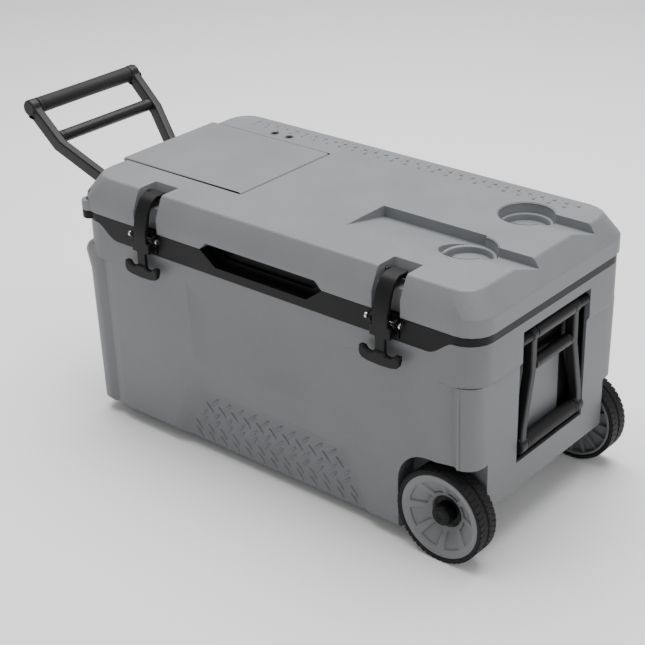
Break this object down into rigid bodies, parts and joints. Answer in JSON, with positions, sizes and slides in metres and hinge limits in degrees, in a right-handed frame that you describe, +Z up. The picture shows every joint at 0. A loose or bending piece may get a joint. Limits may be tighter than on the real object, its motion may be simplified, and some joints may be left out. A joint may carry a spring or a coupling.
{
  "type": "cooler on wheels",
  "caption": "Insulated hard cooler with a hinged lid, rubber T-latches, a fold-down tow handle, a carry handle, wheels, a lid hatch, cup holders, a phone slot and a ruler.",
  "frame": {"origin": "middle of the footprint on the ground, the raised tow handle included", "axes": "+Z up, +X along the body towards the wheels, +Y to the hinge side; the latches face -Y"},
  "size_m": [0.9414, 0.4, 0.4661],
  "materials": {
    "shell_grey": "fine pebble grain, mid grey",
    "liner_pale": "smooth, pale grey",
    "trim_black": "satin black",
    "rubber_black": "matt black",
    "handle_charcoal": "fine grain, charcoal",
    "steel": "bright, lightly brushed",
    "foam": "rigid insulating foam",
    "wheel_grey": "satin mid grey",
    "tyre_black": "moulded solid tyre"
  },
  "bodies": {
    "tub": {"tub_shell": "shell_grey", "foam_core": "foam", "inner_liner": "liner_pale", "rim_frame": "trim_black", "hinge_bracket_left": "trim_black", "hinge_bracket_right": "trim_black", "hinge_pin_left": "steel", "hinge_pin_right": "steel", "keeper_bracket_left": "trim_black", "keeper_bracket_right": "trim_black", "keeper_pin_left": "steel", "keeper_pin_right": "steel", "tow_pocket_tray": "trim_black", "tow_pivot_rod": "steel", "carry_pocket_tray": "trim_black", "carry_pivot_rod": "steel", "axle_rod": "steel", "axle_washer_front": "steel", "axle_washer_back": "steel", "axle_bracket_front": "trim_black", "axle_bracket_back": "trim_black", "foot_front": "rubber_black", "foot_back": "rubber_black", "drain_tube": "trim_black"},
    "lid": {"lid_shell": "shell_grey", "lid_panel": "liner_pale", "lid_foam": "foam", "lid_gasket": "rubber_black", "hatch_pin": "steel", "lid_screw_1": "trim_black", "lid_screw_2": "trim_black", "latch_pivot_left": "steel", "latch_pivot_right": "steel"},
    "hatch": {"hatch_door": "shell_grey"},
    "latch_left": {"latch_strap_left": "rubber_black"},
    "latch_right": {"latch_strap_right": "rubber_black"},
    "tow_handle": {"tow_arm_front": "handle_charcoal", "tow_arm_back": "handle_charcoal", "tow_sleeve": "handle_charcoal", "tow_cross_bar": "handle_charcoal", "tow_grip": "rubber_black"},
    "carry_handle": {"carry_arm_front": "handle_charcoal", "carry_arm_back": "handle_charcoal", "carry_sleeve": "handle_charcoal", "carry_cross_bar": "handle_charcoal", "carry_grip": "rubber_black"},
    "wheel_front": {"tyre_front": "tyre_black", "wheel_rim_front": "wheel_grey", "hub_cap_front": "trim_black", "axle_bush_front": "trim_black"},
    "wheel_back": {"tyre_back": "tyre_black", "wheel_rim_back": "wheel_grey", "hub_cap_back": "trim_black", "axle_bush_back": "trim_black"},
    "drain_plug": {"drain_plug": "trim_black", "drain_washer": "rubber_black"}
  },
  "joints": [
    {"name": "lid_hinge", "type": "hinge", "parent": "tub", "child": "lid", "pos_m": [0.09016, 0.194, 0.352], "axis": [-1, 0, 0], "range_deg": [0, 100]},
    {"name": "hatch_hinge", "type": "hinge", "parent": "lid", "child": "hatch", "pos_m": [-0.02584, 0.004, 0.4032], "axis": [0, 1, 0], "range_deg": [0, 100]},
    {"name": "latch_left_pivot", "type": "hinge", "parent": "lid", "child": "latch_left", "pos_m": [-0.13234, -0.1515, 0.396], "axis": [-1, 0, 0], "range_deg": [0, 110]},
    {"name": "latch_right_pivot", "type": "hinge", "parent": "lid", "child": "latch_right", "pos_m": [0.31266, -0.1515, 0.396], "axis": [-1, 0, 0], "range_deg": [0, 110]},
    {"name": "tow_handle_pivot", "type": "hinge", "parent": "tub", "child": "tow_handle", "pos_m": [-0.26784, 0.0005, 0.299], "axis": [0, 1, 0], "range_deg": [-129, 8]},
    {"name": "carry_handle_pivot", "type": "hinge", "parent": "tub", "child": "carry_handle", "pos_m": [0.44716, 0.0065, 0.305], "axis": [0, -1, 0], "range_deg": [0, 95]},
    {"name": "wheel_front_axle", "type": "hinge", "parent": "tub", "child": "wheel_front", "pos_m": [0.40116, -0.1675, 0.0695], "axis": [0, 1, 0], "continuous": true},
    {"name": "wheel_back_axle", "type": "hinge", "parent": "tub", "child": "wheel_back", "pos_m": [0.40116, 0.1685, 0.0695], "axis": [0, 1, 0], "continuous": true},
    {"name": "drain_plug_turn", "type": "hinge", "parent": "tub", "child": "drain_plug", "pos_m": [-0.19884, 0.1945, 0.075], "axis": [0, 1, 0], "range_deg": [0, 90]}
  ]
}
